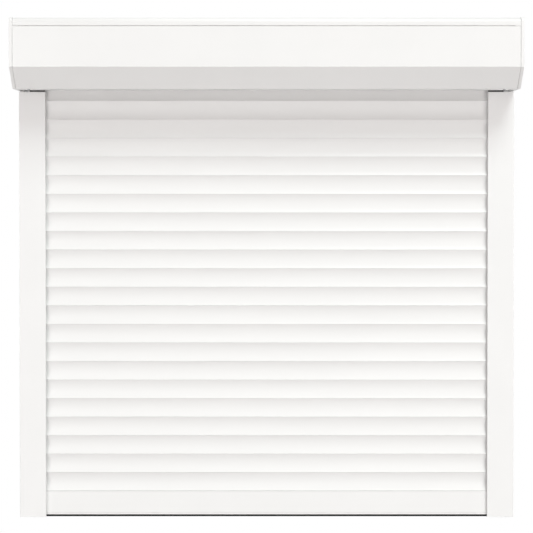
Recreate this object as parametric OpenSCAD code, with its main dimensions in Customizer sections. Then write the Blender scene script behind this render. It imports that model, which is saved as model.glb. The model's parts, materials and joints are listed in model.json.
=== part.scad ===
// Exterior roller shutter with a square 45 degree box, two guide rails and an interlocking slat curtain.
// X runs across the window, the wall is the plane Y = 0, the front faces -Y and +Z is up.
// Z = 0 is the underside of the box, where the guide rails begin.

/* [Overall] */
// Width over both guide rails and the box
overall_w = 1000; // [800:5:1300]
// Height from the rails' lower ends to the top of the box
overall_h = 1000; // [800:5:1080]

/* [Box] */
// Height and depth of the box over its end plates
box_size = 137; // [137:1:160]
// Height of the 45 degree bevel under the front face
bevel = 40; // [30:1:44]
// Sheet thickness of the two box profiles
box_wall = 1.2; // [0.8:0.1:1.8]
// Radius of the top shell's front and back corners
corner_r = 9; // [4:0.5:10]
// Height of the top shell's lip above the seam
lip_h = 15.5; // [10:0.5:20]
// Open seam between the lip and the inspection panel
seam = 1.3; // [0.5:0.1:2]
// Height of the panel's hook behind the lip
hook_h = 8; // [5:0.5:10]
// How far the hook is stepped back behind the panel's sheet
hook_back = 2.5; // [1:0.5:4]
// Depth of the panel's return along the underside
return_d = 47; // [40:1:52]
// Height of the stiffening flange at the end of the return
flange_h = 9; // [5:1:14]
// Open joint between the shells and the rims of the end plates
shell_gap = 0.4; // [0.2:0.1:1]

/* [End plates] */
// Thickness of each end plate
plate_t = 4; // [3:0.5:5]
// Width of the rim that closes the shell ends
cap_rim = 6; // [5.5:0.5:9]
// How far the rim stands out past the shell
cap_proud = 1; // [0.5:0.1:1.5]
// Length of the spigot inside the shell
spigot_l = 12; // [8:1:15]
// Wall of the spigot
spigot_t = 2; // [1.5:0.5:3]
// Length of the tongue inside the rail
tongue_l = 60; // [30:5:90]
// Distance of the panel screws from the ends of the box
panel_screw_inset = 30.5; // [25:0.5:40]
// Distance of the panel screws behind the bevel
panel_screw_back = 8; // [6.5:0.5:12]

/* [Guide rails] */
// Gap between the underside of the box and the rails' upper ends
rail_gap = 1.7; // [0.5:0.1:3]
// Width of a rail across the front
rail_w = 53; // [50:1:60]
// Depth of a rail
rail_d = 22; // [21:0.5:26]
// Wall of the rail extrusion
rail_wall = 1.5; // [1.2:0.1:2]
// Width of the outer hollow chamber, with its outer wall
chamber_w = 20; // [16:0.5:22]
// Radius of the rail's outer corners
rail_r = 1; // [0.5:0.1:1.4]
// Width of the seal strips at the mouth of the channel
seal_w = 6; // [4:0.5:8]
// Height of the ribs that hold the seal strips
rib_h = 2.4; // [1.5:0.1:3]
// Distance of the fixing holes from the rail ends
fixing_inset = 150; // [100:5:250]
// Diameter of the fixing holes in the outer wall
fixing_d = 5; // [4:0.5:6]
// Diameter of the screwdriver holes in the partition
access_d = 10; // [8:0.5:12]
// Height of the plug in the foot of each chamber
foot_h = 15; // [8:1:25]
// Height of the funnels that lead the slats into the rails
funnel_h = 14; // [10:1:18]

/* [Slats] */
// Cover height of one slat
slat_cover = 37.5; // [36:0.5:40]
// Play between two slats when the curtain is closed
slat_play = 0.2; // [0.1:0.1:0.8]
// Thickness of a slat
slat_t = 5; // [4.8:0.1:6]
// Radius of the hollow front face
slat_r = 45; // [42:1:70]
// Skin of a slat
slat_skin = 0.8; // [0.6:0.1:1.1]
// Radius of the bead on the top of each slat
bead_r = 1.5; // [1.4:0.1:1.6]
// Thickness of the neck under the bead
neck_t = 1.2; // [1:0.1:1.6]
// Height of the bead's centre above the lower edge of its socket
joint_rise = 3.4; // [3:0.1:4]
// How far the slats reach into each rail
slat_reach = 25; // [20:0.5:27]
// Depth of the clips in the slat ends
clip_d = 10; // [6:1:16]

/* [Bottom bar] */
// Height of the bottom bar
bar_h = 47.5; // [40:0.5:60]
// Play between the bar and the lowest slat
bar_play = 0.7; // [0.4:0.1:1]
// Wall of the bottom bar
bar_wall = 1.5; // [1.2:0.1:2]
// Visible height of the rubber seal
seal_drop = 4; // [2:0.1:6]
// Height of the seal above the rails' lower ends
sill_gap = 0; // [0:0.1:4]
// Height of the fine groove above the lower edge
groove_z = 3.2; // [3:0.1:8]

/* [Winding shaft and drive] */
// Octagon shaft, across its flats
shaft_af = 40; // [40:0.5:44]
// Wall of the octagon shaft
shaft_wall = 1; // [0.8:0.1:1.4]
// Distance of the shaft's ends from the ends of the box
shaft_inset = 34; // [32:1:45]
// Diameter of the tubular motor
motor_d = 35; // [32:0.5:35]
// Length of the tubular motor
motor_l = 400; // [300:5:480]
// Diameter of the idler pin
pin_d = 12; // [10:0.5:12]
// Outer diameter of the ball bearing
bearing_d = 28; // [27:0.5:32]
// Width of the ball bearing
bearing_w = 9; // [8:0.5:10]
// Diameter of the bearing balls
ball_d = 4.8; // [4:0.1:5]
// Number of bearing balls
ball_n = 8; // [6:1:9]
// Width of a suspension spring
spring_w = 22; // [15:1:30]
// Thickness of a suspension spring
spring_t = 0.8; // [0.5:0.1:1.2]
// Diameter of the cable outlet in the back of the box
cable_d = 8; // [6:0.5:10]

/* [Clearances] */
// Between pieces that are fixed together
fixed_gap = 0.2; // [0.1:0.05:0.3]
// Radial running clearance of turning fits
run_gap = 0.05; // [0.02:0.01:0.1]
// Between a bead and its socket
bead_gap = 0.4; // [0.3:0.05:0.45]
// Between the curtain and what guides it
guide_gap = 0.5; // [0.4:0.1:1]

/* [Hidden] */
$fn = 96;
eps = 0.01;

// Box
rail_top = -rail_gap;
rail_low = box_size - overall_h;
rail_l = rail_top - rail_low;
shell_l = overall_w - 2 * (cap_rim + shell_gap);
underside_front = box_size - bevel;
return_end = underside_front - return_d;
seam_z = box_size - cap_proud - lip_h;
shaft_rise = 1.5;
shaft_y = -box_size / 2;
shaft_z = box_size / 2 + shaft_rise;
recess_t = 0.6;
recess_border = 8;
panel_screw_y = -(underside_front - cap_proud - panel_screw_back);
screw_r = 2;
screw_head_r = 3.6;
screw_head_taper = 1;
screw_head_t = 2;
cross_l = 4;
cross_w = 0.8;
cross_t = 1;
lug_h = 8;
lug_w = 13;
neck_x = 8;
funnel_r = funnel_h + 2;

// Slat curtain
pitch = slat_cover + slat_play;
half_cover = slat_cover / 2;
slat_back_r = slat_r + slat_t;
slat_depth = slat_back_r - sqrt(pow(slat_r, 2) - pow(half_cover, 2));
slat_back_y = -rail_d / 2 + slat_depth / 2;
slat_front_y = slat_back_y - slat_depth;
arc_y = slat_back_y - slat_back_r;
socket_r = bead_r + bead_gap;
joint_half = half_cover - joint_rise;
joint_front = sqrt(pow(slat_r, 2) - pow(joint_half, 2));
joint_back = sqrt(pow(slat_back_r, 2) - pow(joint_half, 2));
joint_y = arc_y + (joint_front + joint_back) / 2;
slat_l = overall_w - 2 * rail_w + 2 * slat_reach;
cavity_low = joint_rise + socket_r + slat_skin;
cavity_high = slat_cover - neck_t - slat_skin;
bar_bottom = rail_low + sill_gap + seal_drop;
bar_top = bar_bottom + bar_h;
slat_count = ceil(-bar_top / pitch) + 1;
function slat_z(i) = bar_top + bar_play + i * pitch;
curtain_top = slat_z(slat_count - 1) + slat_cover;

// Bottom bar: two chambers, and a slot that holds the seal
bar_end = 2;
bar_l = slat_l - 2 * bar_end;
bar_floor = 6;
bar_rib = 2;
bar_roof = 3;
bar_middle = bar_h / 2;
bar_low_h = bar_middle - bar_rib - bar_floor;
bar_high_h = bar_h - bar_roof - bar_middle;
slot_mouth = 3;
slot_w = 5.4;
slot_z = 1.5;
slot_h = 2.5;
groove_t = 0.6;
groove_h = 1;
plug_reach = 12;

// Winding shaft and drive, measured inwards from the ends of the box
shaft_l = overall_w - 2 * shaft_inset;
shaft_bore_af = shaft_af - 2 * shaft_wall;
plug_af = shaft_bore_af - fixed_gap;
plug_l = 30;
motor_head_d = 42;
motor_head_x = plate_t + 6;
motor_x = shaft_inset - 2;
drive_square = 10;
head_collar_d = 20;
head_notch = [4, 8];
motor_end_x = motor_x + motor_l;
crown_l = 18;
wheel_l = 18;
wheel_gap = 0.5;
wheel_hole_r = 2.5;
stub_r = 6;
stub_l = 14;
stub_play = 1;
bracket_t = 3;
bracket_w = 72;
bracket_r = 8;
bracket_screw = 26;
bracket_hole_orbit = 12;
bracket_hole_r = 4;
holder_d = bearing_d + 10;
holder_l = 18;
flange_d = 64;
flange_t = 3;
holder_screw_r = 26;
bearing_x = plate_t + holder_l - bearing_w;
ball_orbit = (pin_d + bearing_d) / 4;
race_wall = 2.5;
pin_tail = 2;
cap_flange_t = 2;
cable_x = overall_w / 2 - 60;
cable_z = 100;
grommet_wall = 3;
grommet_flange = 3;
grommet_flange_t = 2;

// Suspension springs
spring_x = [-0.3, 0, 0.3];
spring_top_z = shaft_z + shaft_af / 2;
spring_hook_z = curtain_top + slat_play + joint_rise;
spring_bend = spring_top_z + spring_t - spring_hook_z - socket_r;

function two_digits(i) = str(i < 10 ? "0" : "", i);
SLATS = [for (i = [1:slat_count]) str("slat_", two_digits(i))];

// A profile drawn in Y and Z, run along X about the middle
module along_x(length) {
    rotate([90, 0, 90]) linear_extrude(length, center = true) children();
}

// A profile drawn in Y and Z, run along X from x0 to x1
module between_x(x0, x1) {
    translate([(x0 + x1) / 2, 0, 0]) along_x(x1 - x0) children();
}

// The right or left end of the shutter: inside, X starts at the end and grows towards the middle
module at_end(side) {
    translate([side * overall_w / 2, 0, 0]) mirror([side > 0 ? 1 : 0, 0, 0]) children();
}

// The shaft's axis
module on_shaft() {
    translate([0, shaft_y, shaft_z]) children();
}

module octagon(af) {
    rotate(22.5) circle(d = af / cos(22.5), $fn = 8);
}

module rounded_rect(w, d, r) {
    translate([r, 0]) square([w - 2 * r, d]);
    translate([0, r]) square([w, d - 2 * r]);
    for (x = [r, w - r], y = [r, d - r]) translate([x, y]) circle(r);
}

// The box section: inset from the front, top and bevel, from the underside and from the wall
module box_section(inset, under = 0, back = 0, r = 0) {
    slope = underside_front - inset * sqrt(2);
    front = box_size - inset;
    top = box_size - inset;
    difference() {
        polygon([
            [-back, under], [-(slope + under), under], [-front, front - slope], [-front, top], [-back, top]
        ]);
        if (r > 0) {
            for (corner = [[-front, 1], [-back, -1]]) translate([corner[0], top]) difference() {
                translate([corner[1] > 0 ? -eps : -r, -r]) square([r + eps, r + eps]);
                translate([corner[1] * r, -r]) circle(r);
            }
        }
    }
}

// The closed sheet outline that the top shell and the inspection panel are cut from
module box_sheet() {
    difference() {
        box_section(cap_proud, r = corner_r);
        box_section(cap_proud + box_wall, box_wall, box_wall, corner_r - box_wall);
    }
}

module box_top_shell() {
    color("white") difference() {
        along_x(shell_l) intersection() {
            box_sheet();
            union() {
                translate([-box_wall, 0]) square([box_wall, box_size]);
                translate([-box_size, seam_z]) square([box_size, lip_h + cap_proud]);
            }
        }
        translate([cable_x, eps, cable_z]) rotate([90, 0, 0])
            cylinder(d = cable_d + 2 * grommet_wall, h = 2 * box_wall);
    }
}

module inspection_panel() {
    face = box_size - cap_proud - box_wall;
    hook_z = seam_z - seam - box_wall;
    color("white") difference() {
        union() {
            along_x(shell_l) intersection() {
                box_sheet();
                translate([-box_size, 0]) square([box_size - return_end, seam_z - seam]);
            }
            along_x(shell_l - 2 * (spigot_l + fixed_gap)) {
                translate([-face, hook_z]) square([hook_back + box_wall, box_wall]);
                translate([hook_back - face, hook_z]) square([box_wall, hook_h + box_wall + seam]);
                translate([-return_end - box_wall, 0]) square([box_wall, flange_h]);
            }
        }
        panel_screw_holes(screw_r + fixed_gap);
    }
}

module panel_screw_holes(r) {
    for (side = [-1, 1]) at_end(side)
        translate([panel_screw_inset, panel_screw_y, -eps]) cylinder(r = r, h = lug_h);
}

module panel_screws() {
    color("dimgray") for (side = [-1, 1]) at_end(side) translate([panel_screw_inset, panel_screw_y, 0]) {
        cylinder(r = screw_r, h = lug_h);
        translate([0, 0, -screw_head_t]) difference() {
            cylinder(r1 = screw_head_r - screw_head_taper, r2 = screw_head_r, h = screw_head_t);
            for (a = [0, 90]) rotate(a) translate([-cross_l / 2, -cross_w / 2, -eps])
                cube([cross_l, cross_w, cross_t]);
        }
    }
}

// The room inside an end plate's spigot, open below where the panel's return ends
module spigot_room() {
    wall = box_wall + fixed_gap + spigot_t;
    box_section(cap_proud + wall, wall, wall);
    translate([-return_end, -eps]) square([return_end - wall, box_size / 2]);
}

// An end plate with its rim, the spigot that carries the shells and the tongue that carries the rail
module end_plate(side) {
    sheet_gap = box_wall + fixed_gap;
    tongue_x = rail_wall + fixed_gap;
    tongue_y = rail_d - rail_wall - fixed_gap;
    color("white") difference() {
        at_end(side) {
            between_x(0, plate_t) box_section(0, r = corner_r);
            between_x(plate_t / 2, cap_rim) difference() {
                box_section(0, r = corner_r);
                spigot_room();
            }
            between_x(plate_t / 2, cap_rim + spigot_l) difference() {
                box_section(cap_proud + sheet_gap, sheet_gap, sheet_gap, corner_r - box_wall);
                spigot_room();
            }
            translate([plate_t - eps, panel_screw_y - lug_w / 2, sheet_gap])
                cube([panel_screw_inset + lug_w / 2 - plate_t, lug_w, lug_h]);
            translate([tongue_x, -tongue_y, -tongue_l])
                cube([chamber_w - fixed_gap - tongue_x, tongue_y - tongue_x, tongue_l - rail_gap]);
            translate([tongue_x, -rail_d / 2, -tongue_l])
                cube([neck_x - tongue_x, rail_d / 2 - tongue_x, tongue_l + lug_h]);
        }
        at_end(side) between_x(-eps, recess_t) box_section(recess_border, recess_border, recess_border);
        panel_screw_holes(screw_r + run_gap);
        if (side > 0) bracket_holes(screw_r + run_gap);
        if (side < 0) holder_holes(screw_r + run_gap);
    }
}

module rail_profile() {
    inner_d = rail_d - 2 * rail_wall;
    channel_x = chamber_w + rail_wall;
    difference() {
        translate([0, -rail_d]) rounded_rect(rail_w, rail_d, rail_r);
        translate([rail_wall, -rail_d + rail_wall]) square([chamber_w - rail_wall, inner_d]);
        translate([channel_x, -rail_d + rail_wall]) square([rail_w, inner_d]);
    }
    for (x = [rail_w - rail_wall, rail_w - 2 * rail_wall - seal_w]) {
        translate([x, -rail_wall - rib_h]) square([rail_wall, rib_h + eps]);
        translate([x, -rail_d + rail_wall - eps]) square([rail_wall, rib_h + eps]);
    }
}

module guide_rail(side) {
    color("white") at_end(side) difference() {
        translate([0, 0, rail_low]) linear_extrude(rail_l) rail_profile();
        for (z = [-fixing_inset, rail_low + fixing_inset]) {
            translate([-eps, -rail_d / 2, z]) rotate([0, 90, 0])
                cylinder(d = fixing_d, h = rail_wall + 2 * eps);
            translate([chamber_w - eps, -rail_d / 2, z]) rotate([0, 90, 0])
                cylinder(d = access_d, h = rail_wall + 2 * eps);
        }
    }
}

// Two strips in the mouth of the channel, each held between two ribs and rounded towards the slats
module rail_seals(side) {
    x = rail_w - rail_wall - seal_w;
    front_h = rail_d + slat_front_y - rail_wall - guide_gap;
    back_h = -slat_back_y - rail_wall - guide_gap;
    color("dimgray") at_end(side) translate([x, 0, rail_low]) linear_extrude(rail_l) {
        translate([0, -rail_d + rail_wall]) seal_strip(front_h);
        translate([0, -rail_wall]) mirror([0, 1]) seal_strip(back_h);
    }
}

module seal_strip(h) {
    tip_r = seal_w / 6;
    gap = fixed_gap / 2;
    translate([gap, 0]) square([seal_w - 2 * gap, rib_h - gap]);
    translate([seal_w / 2 - tip_r, 0]) square([2 * tip_r, h - tip_r]);
    translate([seal_w / 2, h - tip_r]) circle(tip_r);
}

module rail_foot(side) {
    seat = rail_wall + fixed_gap;
    w = chamber_w - fixed_gap - seat;
    d = rail_d - 2 * seat;
    color("white") at_end(side) translate([seat, -rail_d + seat, rail_low]) difference() {
        linear_extrude(foot_h) rounded_rect(w, d, rail_r);
        translate([rail_wall, rail_wall, rail_wall])
            cube([w - 2 * rail_wall, d - 2 * rail_wall, foot_h]);
    }
}

// A funnel on top of the channel: two rounded lips joined by a web beside the slat ends
module inlet_funnel(side) {
    x0 = chamber_w + rail_wall + fixed_gap;
    x1 = rail_w - guide_gap;
    lip_gap = 2 * guide_gap;
    front = slat_front_y - lip_gap;
    back = slat_back_y + lip_gap;
    back_end = -box_wall - fixed_gap;
    color("black") at_end(side) translate([0, 0, rail_top]) {
        between_x(x0, x1) {
            funnel_lip(front + rail_d, front, -1);
            funnel_lip(back_end - back, back, 1);
        }
        between_x(x0, x0 + rail_wall) translate([-rail_d, 0]) square([back_end + rail_d, funnel_h / 2]);
    }
}

module funnel_lip(depth, y, way) {
    intersection() {
        translate([way > 0 ? y : y - depth, 0]) square([depth, funnel_h]);
        translate([y + way * funnel_r, 0]) circle(funnel_r);
    }
}

module motor_bracket() {
    color("silver") difference() {
        at_end(1) on_shaft() between_x(plate_t, plate_t + bracket_t) difference() {
            translate([-bracket_w / 2, -bracket_w / 2]) rounded_rect(bracket_w, bracket_w, bracket_r);
            square(drive_square + 2 * fixed_gap, center = true);
            for (a = [45:90:315]) rotate(a) translate([bracket_hole_orbit, 0]) circle(bracket_hole_r);
        }
        bracket_holes(screw_r + fixed_gap);
    }
}

module bracket_holes(r) {
    at_end(1) on_shaft() for (y = [-1, 1], z = [-1, 1])
        translate([plate_t / 2, y * bracket_screw, z * bracket_screw]) rotate([0, 90, 0])
            cylinder(r = r, h = plate_t + bracket_t);
}

module bracket_screws() {
    color("dimgray") at_end(1) on_shaft() for (y = [-1, 1], z = [-1, 1])
        translate([0, y * bracket_screw, z * bracket_screw]) end_screw(plate_t / 2, plate_t + bracket_t);
}

// A screw along X with its head on the inner side
module end_screw(x0, x1) {
    translate([x0, 0, 0]) rotate([0, 90, 0]) cylinder(r = screw_r, h = x1 - x0);
    translate([x1, 0, 0]) rotate([0, 90, 0])
        cylinder(r1 = screw_head_r, r2 = screw_head_r - screw_head_taper, h = screw_head_t);
}

module motor_head() {
    color("dimgray") at_end(1) on_shaft() {
        between_x(plate_t + fixed_gap, motor_head_x) square(drive_square, center = true);
        between_x(plate_t + bracket_t, motor_head_x) circle(d = head_collar_d);
        between_x(motor_head_x, motor_x) difference() {
            circle(d = motor_head_d);
            for (y = [-1, 1]) translate([y * motor_head_d / 2, 0]) square(head_notch, center = true);
        }
    }
}

module tubular_motor() {
    color("white") at_end(1) on_shaft() difference() {
        between_x(motor_x, motor_end_x) circle(d = motor_d);
        between_x(motor_end_x - stub_l - stub_play, motor_end_x + eps) circle(stub_r + run_gap);
    }
}

module motor_crown() {
    color("black") at_end(1) on_shaft() between_x(shaft_inset, shaft_inset + crown_l) difference() {
        octagon(plug_af);
        circle(d = motor_d + 2 * run_gap);
    }
}

module drive_wheel() {
    color("black") at_end(1) on_shaft() {
        between_x(motor_end_x + wheel_gap, motor_end_x + wheel_l) difference() {
            octagon(plug_af);
            for (a = [0:45:315]) rotate(a) translate([plug_af / 3, 0]) circle(wheel_hole_r);
        }
        between_x(motor_end_x - stub_l, motor_end_x + wheel_l / 2) circle(stub_r);
    }
}

module cable_grommet() {
    collar = cable_d + 2 * grommet_wall;
    color("black") translate([cable_x, 0, cable_z]) rotate([90, 0, 0]) difference() {
        union() {
            cylinder(d = collar - fixed_gap, h = 2 * box_wall);
            translate([0, 0, box_wall]) cylinder(d = collar + 2 * grommet_flange, h = grommet_flange_t);
        }
        translate([0, 0, -eps]) cylinder(d = cable_d, h = 2 * (box_wall + grommet_flange_t));
    }
}

// The bearing holder on the left end plate: a cup for the bearing on a screwed flange
module bearing_holder() {
    color("silver") difference() {
        at_end(-1) on_shaft() {
            between_x(plate_t, plate_t + flange_t) circle(d = flange_d);
            between_x(plate_t, plate_t + holder_l) circle(d = holder_d);
        }
        at_end(-1) on_shaft() {
            between_x(plate_t - eps, plate_t + holder_l) circle(d = bearing_d - 2 * race_wall);
            between_x(bearing_x, plate_t + holder_l + eps) circle(d = bearing_d + 2 * run_gap);
        }
        holder_holes(screw_r + fixed_gap);
    }
}

module holder_holes(r) {
    at_end(-1) on_shaft() for (a = [90:120:330]) rotate([a, 0, 0])
        translate([plate_t / 2, holder_screw_r, 0]) rotate([0, 90, 0])
            cylinder(r = r, h = plate_t + flange_t);
}

module holder_screws() {
    color("dimgray") at_end(-1) on_shaft() for (a = [90:120:330]) rotate([a, 0, 0])
        translate([0, holder_screw_r, 0]) end_screw(plate_t / 2, plate_t + flange_t);
}

module race_groove() {
    rotate_extrude() translate([ball_orbit, 0]) circle(ball_d / 2 + 2 * run_gap);
}

module bearing_place() {
    at_end(-1) on_shaft() translate([bearing_x + bearing_w / 2, 0, 0]) rotate([0, 90, 0]) children();
}

module bearing_ring(inner_r, outer_r) {
    bearing_place() difference() {
        cylinder(r = outer_r, h = bearing_w, center = true);
        cylinder(r = inner_r, h = 2 * bearing_w, center = true);
        race_groove();
    }
}

module bearing_outer_ring() {
    color("silver") bearing_ring(bearing_d / 2 - race_wall, bearing_d / 2);
}

module bearing_inner_ring() {
    color("silver") bearing_ring(pin_d / 2 + run_gap, pin_d / 2 + race_wall);
}

module bearing_balls() {
    color("gray") bearing_place() for (i = [0:ball_n - 1])
        rotate(i * 360 / ball_n) translate([ball_orbit, 0, 0]) sphere(d = ball_d);
}

module shaft_end_cap() {
    color("black") at_end(-1) on_shaft() {
        between_x(shaft_inset, shaft_inset + plug_l) octagon(plug_af);
        between_x(bearing_x + bearing_w, shaft_inset) circle(d = pin_d + 2 * race_wall);
        between_x(bearing_x - pin_tail, shaft_inset) circle(d = pin_d);
        between_x(shaft_inset - cap_flange_t, shaft_inset) octagon(shaft_af);
    }
}

module winding_shaft() {
    color("silver") on_shaft() along_x(shaft_l) difference() {
        octagon(shaft_af);
        octagon(shaft_bore_af);
    }
}

// The bead on the top of a slat or of the bottom bar, whose upper edge is at z
module bead(z, play = slat_play) {
    centre_z = z + play + joint_rise;
    translate([joint_y, centre_z]) circle(bead_r);
    translate([joint_y - neck_t / 2, z - neck_t]) square([neck_t, centre_z - z + neck_t]);
}

module slat_band(r0, r1, z0, z1) {
    intersection() {
        translate([arc_y, half_cover]) difference() {
            circle(r1, $fn = 360);
            circle(r0, $fn = 360);
        }
        translate([arc_y, z0]) square([2 * slat_back_r, z1 - z0]);
    }
}

module slat_cavity() {
    slat_band(slat_r + slat_skin, slat_back_r - slat_skin, cavity_low, cavity_high);
}

// One slat: a hollow front face, a socket along its lower edge and a bead along its upper edge
module slat_profile() {
    neck_slot = neck_t + 2 * bead_gap;
    difference() {
        union() {
            slat_band(slat_r, slat_back_r, 0, slat_cover);
            bead(slat_cover);
        }
        slat_cavity();
        translate([joint_y, joint_rise]) circle(socket_r);
        translate([joint_y - neck_slot / 2, -neck_slot]) square([neck_slot, joint_rise + neck_slot]);
    }
}

module slat(i) {
    color("white") translate([0, 0, slat_z(i)]) along_x(slat_l) slat_profile();
}

module slat_cores() {
    color("khaki") for (i = [0:slat_count - 1])
        translate([0, 0, slat_z(i)]) along_x(slat_l - 2 * clip_d) slat_cavity();
}

// Clips in both ends of every second slat, which stop the slats from sliding along each other
module slat_end_clips() {
    head = 1.5;
    color("black") for (i = [0:2:slat_count - 1], side = [-1, 1]) translate([0, 0, slat_z(i)]) {
        translate([side * (slat_l - clip_d) / 2, 0, 0]) along_x(clip_d) slat_cavity();
        translate([side * (slat_l + head) / 2, 0, 0]) along_x(head)
            slat_band(slat_r, slat_back_r, cavity_low, cavity_high);
    }
}

module suspension_springs() {
    low_z = spring_hook_z + socket_r;
    end_y = shaft_y - shaft_af / 5;
    color("silver") for (share = spring_x) translate([share * overall_w, 0, 0]) along_x(spring_w) {
        difference() {
            translate([joint_y, spring_hook_z]) circle(socket_r + spring_t);
            translate([joint_y, spring_hook_z]) circle(socket_r);
            translate([joint_y - bead_r, spring_hook_z - 2 * socket_r]) square([2 * bead_r, 2 * socket_r]);
        }
        intersection() {
            translate([joint_y - spring_bend, low_z]) difference() {
                circle(spring_bend);
                circle(spring_bend - spring_t);
            }
            translate([joint_y - spring_bend, low_z]) square(2 * spring_bend);
        }
        translate([end_y, spring_top_z]) square([joint_y - spring_bend - end_y, spring_t]);
    }
}

// The two chambers of the bottom bar, smaller all round by gap
module bar_chambers(gap) {
    inner = slat_depth - 2 * (bar_wall + gap);
    translate([slat_front_y + bar_wall + gap, bar_bottom]) {
        translate([0, bar_floor + gap]) square([inner, bar_low_h - 2 * gap]);
        translate([0, bar_middle + gap]) square([inner, bar_high_h - 2 * gap]);
    }
}

// The slot that holds the seal, or the seal's foot, which is smaller all round by gap
module seal_slot(gap) {
    middle = slat_front_y + slat_depth / 2;
    translate([middle, bar_bottom]) {
        translate([gap - slot_mouth / 2, -eps]) square([slot_mouth - 2 * gap, slot_z + slot_h / 2]);
        translate([gap - slot_w / 2, slot_z + gap]) square([slot_w - 2 * gap, slot_h - 2 * gap]);
    }
}

module bottom_bar() {
    color("white") along_x(bar_l) difference() {
        union() {
            translate([slat_front_y, bar_bottom]) square([slat_depth, bar_h]);
            bead(bar_top, bar_play);
        }
        bar_chambers(0);
        seal_slot(0);
        translate([slat_front_y - eps, bar_bottom + groove_z]) square([groove_t, groove_h]);
    }
}

module bottom_seal() {
    lip_w = slat_depth - 1;
    color("black") along_x(bar_l) {
        seal_slot(fixed_gap);
        translate([slat_front_y + (slat_depth - lip_w) / 2, bar_bottom - seal_drop])
            square([lip_w, seal_drop]);
    }
}

module bar_end_plugs() {
    color("black") for (side = [-1, 1]) {
        translate([side * (bar_l - plug_reach) / 2, 0, 0]) along_x(plug_reach) bar_chambers(fixed_gap);
        translate([side * (bar_l + bar_end) / 2, 0, 0]) along_x(bar_end)
            translate([slat_front_y, bar_bottom]) square([slat_depth, bar_h]);
    }
}

box_top_shell();
inspection_panel();
panel_screws();
end_plate(-1);  // end_plate_left
end_plate(1);  // end_plate_right
guide_rail(-1);  // guide_rail_left
guide_rail(1);  // guide_rail_right
rail_seals(-1);  // rail_seals_left
rail_seals(1);  // rail_seals_right
rail_foot(-1);  // rail_foot_left
rail_foot(1);  // rail_foot_right
inlet_funnel(-1);  // inlet_funnel_left
inlet_funnel(1);  // inlet_funnel_right
motor_bracket();
bracket_screws();
motor_head();
tubular_motor();
cable_grommet();
bearing_holder();
holder_screws();
bearing_outer_ring();
bearing_balls();
bearing_inner_ring();
winding_shaft();
shaft_end_cap();
motor_crown();
drive_wheel();
suspension_springs();
slat_cores();
slat_end_clips();
bottom_bar();
bottom_seal();
bar_end_plugs();
for (i = [0:slat_count - 1]) slat(i);
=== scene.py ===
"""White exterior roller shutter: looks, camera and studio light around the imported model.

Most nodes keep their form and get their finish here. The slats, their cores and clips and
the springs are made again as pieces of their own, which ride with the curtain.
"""
import json
import math

import bmesh
import bpy
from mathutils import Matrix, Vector
from mathutils.geometry import tessellate_polygon


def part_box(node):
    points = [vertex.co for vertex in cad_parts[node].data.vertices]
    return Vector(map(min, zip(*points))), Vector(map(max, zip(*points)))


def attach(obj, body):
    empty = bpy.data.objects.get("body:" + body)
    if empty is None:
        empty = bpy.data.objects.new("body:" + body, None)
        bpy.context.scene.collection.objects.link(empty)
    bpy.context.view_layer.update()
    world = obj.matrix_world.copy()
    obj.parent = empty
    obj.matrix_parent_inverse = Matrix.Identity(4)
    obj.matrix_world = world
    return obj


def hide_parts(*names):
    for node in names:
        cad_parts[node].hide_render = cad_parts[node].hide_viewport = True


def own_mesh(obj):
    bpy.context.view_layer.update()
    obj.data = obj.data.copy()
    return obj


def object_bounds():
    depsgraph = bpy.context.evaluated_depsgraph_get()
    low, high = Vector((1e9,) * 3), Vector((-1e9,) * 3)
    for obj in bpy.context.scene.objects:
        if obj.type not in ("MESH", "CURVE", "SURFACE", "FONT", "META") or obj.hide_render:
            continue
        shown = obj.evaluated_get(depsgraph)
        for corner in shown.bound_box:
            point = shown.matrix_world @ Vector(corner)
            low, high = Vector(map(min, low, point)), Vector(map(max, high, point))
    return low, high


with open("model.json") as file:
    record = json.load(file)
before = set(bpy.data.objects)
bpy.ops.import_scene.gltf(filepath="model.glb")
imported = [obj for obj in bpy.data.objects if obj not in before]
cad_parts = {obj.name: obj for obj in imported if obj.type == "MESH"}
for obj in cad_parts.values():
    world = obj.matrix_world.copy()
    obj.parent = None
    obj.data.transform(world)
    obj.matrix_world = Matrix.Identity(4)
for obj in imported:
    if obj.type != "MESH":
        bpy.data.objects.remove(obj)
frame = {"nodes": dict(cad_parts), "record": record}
nodes = frame["nodes"]
cad_low, cad_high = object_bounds()
SLOT_OF = {row["node"]: row["material_slot"] for row in frame["record"]["subparts"]}

MM = 0.001

# The photograph's frame, the places in it that set the camera, and the camera's place in metres
PHOTO_PX = 533
HORIZON_PX = 178.5
MIDDLE_PX = 266.6
TILT = math.radians(1.0)
LENS_MM = 100.0
SENSOR_MM = 36.0
CAMERA_Y = -3.0135
CAMERA_Z = -0.1765

# The slats' profile, with the sizes of the solids, and the steps along its arcs
SLAT_COVER = 37.5 * MM
SLAT_FACE_R = 45.0 * MM
SLAT_BACK_R = 50.0 * MM
SLAT_SKIN = 0.8 * MM
SLAT_PLAY = 0.2 * MM
JOINT_RISE = 3.4 * MM
BEAD_R = 1.5 * MM
BEAD_GAP = 0.4 * MM
NECK_T = 1.2 * MM
FACE_STEPS = 24
BEAD_STEPS = 14
HOLLOW_STEPS = 12

# What rides with the curtain besides the slats
DRAWN_IN = ("slat_cores", "slat_end_clips", "suspension_springs")

# Softened edges: their widths by material slot, and what counts as one point, flat and an edge
EDGE_WIDTH = {
    "shell": 0.35 * MM,
    "end_plate": 0.5 * MM,
    "rail": 0.4 * MM,
    "bottom_bar": 0.3 * MM,
}
SLAT_EDGE = 0.3 * MM
EDGE_SEGMENTS = 2
JOIN_WITHIN = 0.0004 * MM
FLAT_WITHIN = math.radians(0.2)
EDGE_FROM = math.radians(35.0)
CREASE_FROM = math.radians(30.0)

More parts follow.
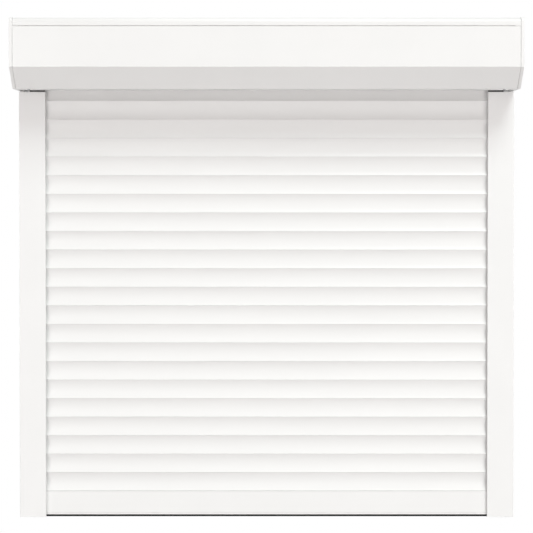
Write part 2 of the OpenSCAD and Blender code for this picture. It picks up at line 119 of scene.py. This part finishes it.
# Noise in the finishes, its scales per metre: clouds of tone and patches of gloss. Most of a
# noise lies between the low and the high value
CLOUD_SCALE = 9.0
CLOUD_DETAIL = 3.0
GLOSS_SCALE = 60.0
GLOSS_SPREAD = 0.12
GRAIN_DETAIL = 2.0
NOISE_LOW = 0.35
NOISE_HIGH = 0.65
WHITE = (0.88, 0.88, 0.872)
RAIL_WHITE = (0.88, 0.88, 0.874)
# How a noise is scaled along X, Y and Z: the same each way, or drawn out along the slats
EVEN_GRAIN = (1, 1, 1)
LONG_GRAIN = (0.2, 1, 1)

# Studio light: the dim light all round, the tints, and the point that the lamps face
AMBIENT = 0.3
WARM = (1.0, 0.955, 0.945)
COOL = (0.935, 1.0, 0.99)
EVEN = (1.0, 0.985, 0.975)
AIM = (0.0, 0.0, -0.35)
# Each lamp's name, place, width and height in metres, power in watts and tint
LAMPS = [
    ("key", (3.0, -7.3, 9.4), (5.6, 5.6), 735.0, COOL),
    ("fill_left", (-4.2, -5.8, -0.5), (5.2, 1.2), 139.0, WARM),
    ("fill_right", (4.2, -5.8, -0.5), (5.2, 1.2), 139.0, WARM),
    ("top", (0.0, 0.0, 4.6), (3.0, 3.0), 29.0, EVEN),
    ("back_left", (-5.0, 4.2, -0.2), (3.0, 3.0), 160.0, EVEN),
    ("back_right", (5.0, 4.2, -0.2), (3.0, 3.0), 160.0, EVEN),
]

# The floor: how far it lies below the part, its form, and its tone to the eye and as it
# returns light
FLOOR_DROP = 0.9
FLOOR_RADIUS = 3.4
FLOOR_SIDES = 96
FLOOR_ROUGHNESS = 0.9
FLOOR_SEEN = 0.92
FLOOR_BOUNCE = 0.6


def placed(name, data):
    """A new object of the scene around a camera, lamp or mesh."""
    obj = bpy.data.objects.new(name, data)
    bpy.context.scene.collection.objects.link(obj)
    return obj


def camera():
    """An almost level camera, shifted so that horizon and middle lie as in the photo."""
    focus_px = LENS_MM / SENSOR_MM * PHOTO_PX
    below_horizon = PHOTO_PX / 2 - HORIZON_PX - focus_px * math.tan(TILT)
    data = bpy.data.cameras.new("camera")
    data.lens = LENS_MM
    data.sensor_width = SENSOR_MM
    data.shift_y = -below_horizon / PHOTO_PX
    data.shift_x = (PHOTO_PX / 2 - MIDDLE_PX) / PHOTO_PX
    obj = placed("camera", data)
    obj.location = (0, CAMERA_Y, CAMERA_Z)
    obj.rotation_euler = (math.pi / 2 - TILT, 0, 0)
    bpy.context.scene.camera = obj


# Materials
def material(name, colour, roughness, metallic=0.0, specular=0.5):
    """A new material with its shader's constants set, its node tree and its shader."""
    mat = bpy.data.materials.new(name)
    mat.use_nodes = True
    mat.diffuse_color = (*colour, 1)
    shader = mat.node_tree.nodes["Principled BSDF"]
    shader.inputs["Base Color"].default_value = (*colour, 1)
    shader.inputs["Roughness"].default_value = roughness
    shader.inputs["Metallic"].default_value = metallic
    shader.inputs["Specular IOR Level"].default_value = specular
    return mat, mat.node_tree, shader


def grey(value):
    """A colour with the same value in each channel."""
    return (value, value, value)


def noise(tree, scale, detail, stretch):
    """A noise over the object's own coordinates, which are in metres."""
    place = tree.nodes.new("ShaderNodeTexCoord")
    mapping = tree.nodes.new("ShaderNodeMapping")
    mapping.inputs["Scale"].default_value = stretch
    tree.links.new(place.outputs["Object"], mapping.inputs["Vector"])
    node = tree.nodes.new("ShaderNodeTexNoise")
    node.inputs["Scale"].default_value = scale
    node.inputs["Detail"].default_value = detail
    tree.links.new(mapping.outputs["Vector"], node.inputs["Vector"])
    return node.outputs["Fac"]


def ramp(tree, fac, low, high):
    """Colours from low to high over the usual values of a noise."""
    node = tree.nodes.new("ShaderNodeValToRGB")
    node.color_ramp.elements[0].position = NOISE_LOW
    node.color_ramp.elements[1].position = NOISE_HIGH
    node.color_ramp.elements[0].color = (*low, 1)
    node.color_ramp.elements[1].color = (*high, 1)
    tree.links.new(fac, node.inputs["Fac"])
    return node.outputs["Color"]


def bump(tree, shader, height, strength, distance):
    """A relief on the shader's surface, its distance in metres."""
    node = tree.nodes.new("ShaderNodeBump")
    node.inputs["Strength"].default_value = strength
    node.inputs["Distance"].default_value = distance
    tree.links.new(height, node.inputs["Height"])
    tree.links.new(node.outputs["Normal"], shader.inputs["Normal"])


def finish(
    name, colour, roughness, grain, tone=0.985, metallic=0.0, stretch=EVEN_GRAIN, specular=0.5
):
    """A coated or moulded surface: slightly uneven tone, uneven gloss and a fine grain.

    grain is (noise scale per metre, bump strength, bump depth in metres), and tone is the
    brightness of the darkest clouds.
    """
    mat, tree, shader = material(name, colour, roughness, metallic, specular)
    cloud = noise(tree, CLOUD_SCALE, CLOUD_DETAIL, stretch)
    dark = tuple(c * tone for c in colour)
    tree.links.new(ramp(tree, cloud, dark, colour), shader.inputs["Base Color"])
    patches = noise(tree, GLOSS_SCALE, CLOUD_DETAIL, stretch)
    smooth = grey(roughness * (1 - GLOSS_SPREAD))
    rough = grey(roughness * (1 + GLOSS_SPREAD))
    tree.links.new(ramp(tree, patches, smooth, rough), shader.inputs["Roughness"])
    scale, strength, depth = grain
    bump(tree, shader, noise(tree, scale, GRAIN_DETAIL, stretch), strength, depth)
    return mat


MATERIALS = {
    "shell": finish("white_powder_coat", WHITE, 0.42, (900.0, 0.12, 0.0004)),
    "end_plate": finish("white_cast_coat", WHITE, 0.46, (700.0, 0.16, 0.0005)),
    "rail": finish("white_rail_coat", RAIL_WHITE, 0.40, (900.0, 0.10, 0.0004)),
    "slat": finish("white_slat_enamel", WHITE, 0.34, (500.0, 0.06, 0.0003), stretch=LONG_GRAIN),
    "bottom_bar": finish("white_bar_coat", WHITE, 0.40, (900.0, 0.10, 0.0004)),
    "rail_foot": finish("white_plastic", (0.84, 0.84, 0.83), 0.5, (1200.0, 0.15, 0.0003)),
    "rail_seal": finish(
        "grey_seal", (0.16, 0.16, 0.165), 0.85, (1500.0, 0.5, 0.0005), tone=0.8
    ),
    "funnel": finish(
        "black_funnel", (0.02, 0.02, 0.021), 0.5, (1400.0, 0.25, 0.0003), tone=0.8
    ),
    "black_plastic": finish(
        "black_plastic", (0.025, 0.025, 0.027), 0.48, (1400.0, 0.25, 0.0003), tone=0.8
    ),
    "black_rubber": finish(
        "black_rubber", grey(0.01), 0.75, (1600.0, 0.35, 0.0003), tone=0.7, specular=0.2
    ),
    "screw": finish(
        "zinc_screw", (0.45, 0.45, 0.46), 0.3, (800.0, 0.1, 0.0002), metallic=1.0
    ),
    "zinc_steel": finish(
        "galvanised_steel", (0.58, 0.59, 0.61), 0.36, (140.0, 0.15, 0.0003), tone=0.72, metallic=1.0
    ),
    "bearing_steel": finish(
        "bearing_steel", (0.7, 0.7, 0.71), 0.16, (600.0, 0.05, 0.0002), metallic=1.0
    ),
    "spring_steel": finish(
        "spring_steel", (0.36, 0.38, 0.43), 0.3, (500.0, 0.08, 0.0002), tone=0.85, metallic=1.0
    ),
    "motor_tube": finish("motor_paint", (0.6, 0.6, 0.59), 0.4, (900.0, 0.12, 0.0004)),
    "foam": finish("foam", (0.75, 0.66, 0.4), 0.9, (700.0, 0.6, 0.001), tone=0.85),
}


def paint(obj, slot):
    """Gives a piece or a node the finish of its slot."""
    obj.data.materials.clear()
    obj.data.materials.append(MATERIALS[slot])


def soft_edges(obj, width, clamp=False):
    """Rounded edges and smooth shading across them, once points and flat faces are joined.

    clamp keeps the rounding within short edges.
    """
    join = obj.modifiers.new("join", "WELD")
    join.merge_threshold = JOIN_WITHIN
    flat = obj.modifiers.new("flat", "DECIMATE")
    flat.decimate_type = "DISSOLVE"
    flat.angle_limit = FLAT_WITHIN
    edge = obj.modifiers.new("edges", "BEVEL")
    edge.width = width
    edge.segments = EDGE_SEGMENTS
    edge.limit_method = "ANGLE"
    edge.angle_limit = EDGE_FROM
    edge.use_clamp_overlap = clamp
    edge.harden_normals = True


def carried_over():
    """The nodes whose form is right: their finish and softened edges."""
    for name, obj in nodes.items():
        slot = SLOT_OF[name]
        paint(obj, slot)
        if slot in EDGE_WIDTH:
            soft_edges(obj, EDGE_WIDTH[slot])


# Slats: outlines in Y and Z that run along X
def arc(centre, radius, start, end, steps):
    """Points on an arc, from one angle to the other, both in radians."""
    turn = (end - start) / steps
    angles = [start + i * turn for i in range(steps + 1)]
    return [(centre[0] + radius * math.cos(a), centre[1] + radius * math.sin(a)) for a in angles]


def slat_loops(back_y, low_z):
    """The outline of one slat and its hollow, from its backmost Y and its lower edge."""
    half = SLAT_COVER / 2
    top_z = low_z + SLAT_COVER
    centre = (back_y - SLAT_BACK_R, low_z + half)
    face_turn = math.asin(half / SLAT_FACE_R)
    back_turn = math.asin(half / SLAT_BACK_R)
    joint_half = half - JOINT_RISE
    face_reach = math.sqrt(SLAT_FACE_R**2 - joint_half**2)
    back_reach = math.sqrt(SLAT_BACK_R**2 - joint_half**2)
    joint_y = centre[0] + (face_reach + back_reach) / 2
    socket_r = BEAD_R + BEAD_GAP
    slot_turn = math.asin((NECK_T / 2 + BEAD_GAP) / socket_r)
    neck_turn = math.asin(NECK_T / 2 / BEAD_R)
    bead = (joint_y, top_z + SLAT_PLAY + JOINT_RISE)
    socket = (joint_y, low_z + JOINT_RISE)
    down = -math.pi / 2
    full = 2 * math.pi
    outline = arc(centre, SLAT_FACE_R, -face_turn, face_turn, FACE_STEPS)
    outline.append((joint_y - NECK_T / 2, top_z))
    outline += arc(bead, BEAD_R, down - neck_turn, down + neck_turn - full, BEAD_STEPS)
    outline.append((joint_y + NECK_T / 2, top_z))
    outline += arc(centre, SLAT_BACK_R, back_turn, -back_turn, FACE_STEPS)
    outline.append((joint_y + NECK_T / 2 + BEAD_GAP, low_z))
    outline += arc(socket, socket_r, down + slot_turn, down - slot_turn + full, BEAD_STEPS)
    outline.append((joint_y - NECK_T / 2 - BEAD_GAP, low_z))
    hollow_low = socket[1] + socket_r + SLAT_SKIN - centre[1]
    hollow_high = top_z - NECK_T - SLAT_SKIN - centre[1]
    inner = SLAT_FACE_R + SLAT_SKIN
    outer = SLAT_BACK_R - SLAT_SKIN

    def turns(radius):
        return math.asin(hollow_low / radius), math.asin(hollow_high / radius)

    inner_low, inner_high = turns(inner)
    outer_low, outer_high = turns(outer)
    hollow = arc(centre, inner, inner_low, inner_high, HOLLOW_STEPS)
    hollow += arc(centre, outer, outer_high, outer_low, HOLLOW_STEPS)
    return [outline, hollow]


def prism(name, loops, x0, x1):
    """A piece between two X values over an outline and its holes."""
    flat = [(y, z) for loop in loops for y, z in loop]
    count = len(flat)
    caps = tessellate_polygon([[Vector((y, z, 0)) for y, z in loop] for loop in loops])
    points = [(x, y, z) for x in (x0, x1) for y, z in flat]
    faces = [tuple(t) for t in caps] + [tuple(i + count for i in reversed(t)) for t in caps]
    first = 0
    for loop in loops:
        size = len(loop)
        for i in range(size):
            a, b = first + i, first + (i + 1) % size
            faces.append((a, b, b + count, a + count))
        first += size
    mesh = bpy.data.meshes.new(name)
    mesh.from_pydata(points, [], faces)
    mesh.update()
    shade(mesh)
    return placed(name, mesh)


def shade(mesh):
    """Faces that look outwards, smooth but for the creases."""
    work = bmesh.new()
    work.from_mesh(mesh)
    bmesh.ops.recalc_face_normals(work, faces=work.faces)
    work.to_mesh(mesh)
    work.free()
    mesh.shade_smooth()
    mesh.set_sharp_from_angle(angle=CREASE_FROM)


def wind(piece, node):
    """Lets a piece stand for its node, which is hidden, and ride with the curtain."""
    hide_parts(node)
    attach(piece, "curtain")
    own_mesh(piece)


def slats():
    """Each slat again, from the profile and its node's place."""
    for node in sorted(n for n in nodes if n.removeprefix("slat_").isdigit()):
        low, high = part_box(node)
        piece = prism("enamelled_" + node, slat_loops(high.y, low.z), low.x, high.x)
        paint(piece, "slat")
        soft_edges(piece, SLAT_EDGE, clamp=True)
        wind(piece, node)


def copied(node):
    """A new piece with the form of a node, which rides with the curtain."""
    piece = placed("wound_" + node, nodes[node].data.copy())
    paint(piece, SLOT_OF[node])
    wind(piece, node)


# Studio
def seen_directly(tree):
    """1 for camera, glossy and transmission rays, 0 for the light that falls on the object."""
    path = tree.nodes.new("ShaderNodeLightPath")
    total = path.outputs["Is Camera Ray"]
    for name in ("Is Glossy Ray", "Is Transmission Ray"):
        most = tree.nodes.new("ShaderNodeMath")
        most.operation = "MAXIMUM"
        tree.links.new(total, most.inputs[0])
        tree.links.new(path.outputs[name], most.inputs[1])
        total = most.outputs[0]
    return total


def mixed(tree, fac, first, second):
    """A shader that goes from the first to the second with fac."""
    mix = tree.nodes.new("ShaderNodeMixShader")
    tree.links.new(fac, mix.inputs["Fac"])
    tree.links.new(first.outputs[0], mix.inputs[1])
    tree.links.new(second.outputs[0], mix.inputs[2])
    return mix


def background(tree, colour, strength):
    """One plain background of the world."""
    node = tree.nodes.new("ShaderNodeBackground")
    node.inputs["Color"].default_value = (*colour, 1)
    node.inputs["Strength"].default_value = strength
    return node


def surroundings():
    """White to the eye, and a dim even light on the object."""
    world = bpy.data.worlds.new("studio")
    world.use_nodes = True
    bpy.context.scene.world = world
    tree = world.node_tree
    tree.nodes.clear()
    light = background(tree, WARM, AMBIENT)
    white = background(tree, grey(1.0), 1.0)
    out = tree.nodes.new("ShaderNodeOutputWorld")
    mix = mixed(tree, seen_directly(tree), light, white)
    tree.links.new(mix.outputs[0], out.inputs["Surface"])


def area_light(name, place, size, power, colour):
    """A soft lamp, size wide and high, that faces the middle of the shutter."""
    data = bpy.data.lights.new(name, "AREA")
    data.color = colour
    data.shape = "ELLIPSE"
    data.size, data.size_y = size
    data.energy = power
    obj = placed(name, data)
    obj.location = place
    obj.rotation_euler = (Vector(AIM) - Vector(place)).to_track_quat("-Z", "Y").to_euler()


def floor():
    """A plain pale floor below the shutter, which hangs on a wall. Seen from below it gives way."""
    z = cad_low.z - FLOOR_DROP
    turn = 2 * math.pi / FLOOR_SIDES
    ring = [
        (FLOOR_RADIUS * math.cos(i * turn), FLOOR_RADIUS * math.sin(i * turn), z)
        for i in range(FLOOR_SIDES)
    ]
    mesh = bpy.data.meshes.new("floor")
    mesh.from_pydata(ring, [], [tuple(range(FLOOR_SIDES))])
    obj = placed("floor", mesh)
    mat, tree, shader = material("pale_floor", grey(FLOOR_SEEN), FLOOR_ROUGHNESS)
    dim = tree.nodes.new("ShaderNodeBsdfDiffuse")
    dim.inputs["Color"].default_value = (*grey(FLOOR_BOUNCE), 1)
    tone = mixed(tree, seen_directly(tree), dim, shader)
    side = tree.nodes.new("ShaderNodeNewGeometry")
    clear = tree.nodes.new("ShaderNodeBsdfTransparent")
    mix = mixed(tree, side.outputs["Backfacing"], tone, clear)
    tree.links.new(mix.outputs[0], tree.nodes["Material Output"].inputs["Surface"])
    mesh.materials.append(mat)


def studio():
    """The surroundings, the lamps and the floor."""
    bpy.context.scene.view_settings.view_transform = "Standard"
    surroundings()
    for lamp in LAMPS:
        area_light(*lamp)
    floor()


camera()
carried_over()
slats()
for node in DRAWN_IN:
    copied(node)
studio()
